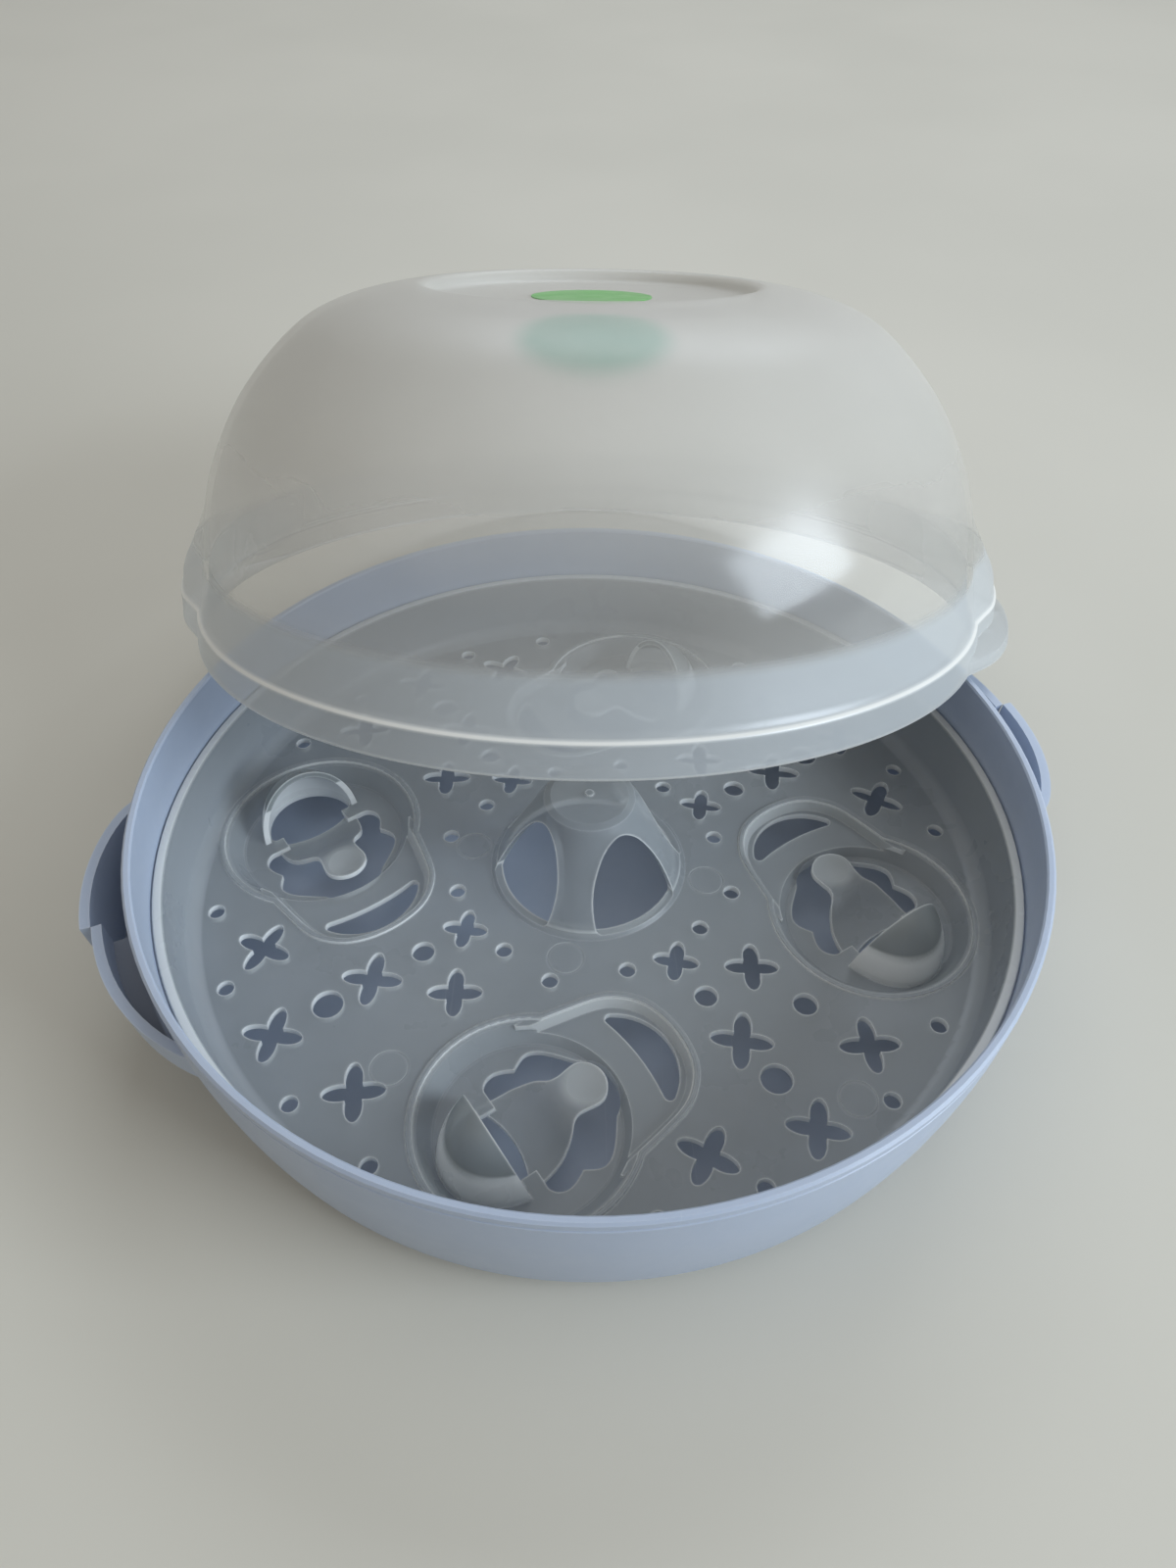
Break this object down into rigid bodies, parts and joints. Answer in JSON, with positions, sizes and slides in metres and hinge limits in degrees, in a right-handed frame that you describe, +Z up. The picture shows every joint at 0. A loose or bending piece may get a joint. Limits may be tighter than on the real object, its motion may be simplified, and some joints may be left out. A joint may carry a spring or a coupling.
{
  "type": "microwave sterilizer",
  "caption": "Microwave steam sterilizer for baby bottles: round water tray with side handles, perforated drop-in rack with holders, and a tall frosted dome lid.",
  "frame": {"origin": "centre of the tray's flat underside, on the surface it stands on", "axes": "+Z up along the tray's axis; +X and -X through the two side handles; +Y away from the viewer, towards the lid that lies ajar"},
  "size_m": [0.2959, 0.3721, 0.1663],
  "materials": {
    "tray_plastic": "satin lavender-blue moulded polypropylene",
    "rack_plastic": "frosted translucent polypropylene",
    "lid_plastic": "frosted clear polypropylene, satin",
    "green_label": "plain green print"
  },
  "bodies": {
    "tray": {"base_tray": "tray_plastic"},
    "rack": {"rack": "rack_plastic"},
    "lid": {"lid": "lid_plastic", "lid_label": "green_label"}
  },
  "joints": [
    {"name": "lid_lift", "type": "slide", "parent": "tray", "child": "lid", "axis": [0, 0, 1], "range_m": [0, 0.28]},
    {"name": "rack_lift", "type": "slide", "parent": "tray", "child": "rack", "axis": [0, 0, 1], "range_m": [0, 0.112]}
  ],
  "couplings": [
    {"joint": "rack_lift", "follows": "lid_lift", "ratio": 0.4}
  ]
}
